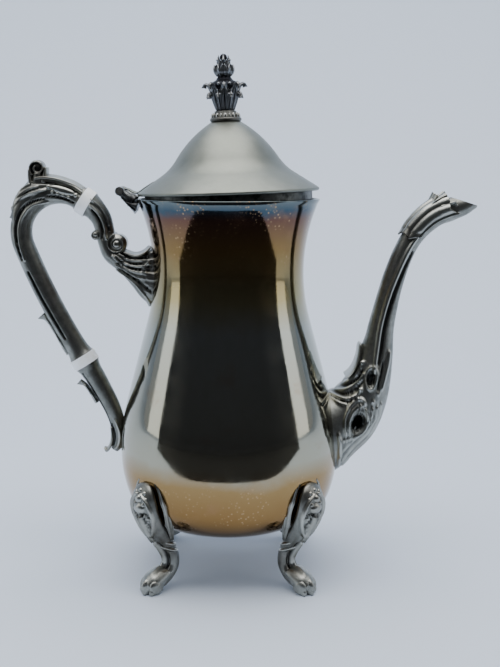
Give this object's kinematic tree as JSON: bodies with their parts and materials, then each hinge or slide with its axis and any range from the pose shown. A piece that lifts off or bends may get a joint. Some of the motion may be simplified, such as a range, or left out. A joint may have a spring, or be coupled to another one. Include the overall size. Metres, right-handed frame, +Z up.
{
  "type": "coffee pot",
  "caption": "Silver-plated baluster coffee pot on cast scroll feet, with a leafy cast spout, a C-scroll handle between white insulators and a hinged bell lid with an urn knob.",
  "frame": {"origin": "on the vessel's axis, on the plane that the four feet stand on", "axes": "+Z up along the vessel's axis, +X towards the spout, the handle along -X, +Y to the pot's left side"},
  "size_m": [0.2439, 0.1148, 0.2684],
  "materials": {
    "vessel_plate": "bright silver plate, tarnished amber at neck and base",
    "lid_satin": "satin silver plate, greyed",
    "cast_plate": "cast silver plate, darkened in its recesses",
    "dark_casting": "cast silver plate, heavily darkened",
    "bright_casting": "cast silver plate, pale",
    "white_insulator": "smooth white insulating plastic",
    "plain_metal": "plain turned metal"
  },
  "bodies": {
    "pot": {"body_shell": "vessel_plate", "base_plate": "vessel_plate", "spout_half_left": "cast_plate", "spout_half_right": "cast_plate", "foot_front_left": "cast_plate", "foot_front_right": "cast_plate", "foot_back_left": "cast_plate", "foot_back_right": "cast_plate", "handle_socket_upper": "cast_plate", "handle_socket_lower": "cast_plate", "insulator_upper": "white_insulator", "insulator_lower": "white_insulator", "handle_grip": "cast_plate", "handle_pins": "plain_metal", "hinge_bracket": "dark_casting", "hinge_pin": "plain_metal"},
    "lid": {"lid_shell": "lid_satin", "lid_bezel": "lid_satin", "lid_hinge_leaf": "dark_casting", "finial_collar": "bright_casting", "finial": "dark_casting", "finial_washer": "plain_metal", "finial_nut": "plain_metal"}
  },
  "joints": [
    {"name": "lid_hinge", "type": "hinge", "parent": "pot", "child": "lid", "pos_m": [-0.05503, 0, 0.2014], "axis": [0, -1, 0], "range_deg": [-2, 103]}
  ]
}
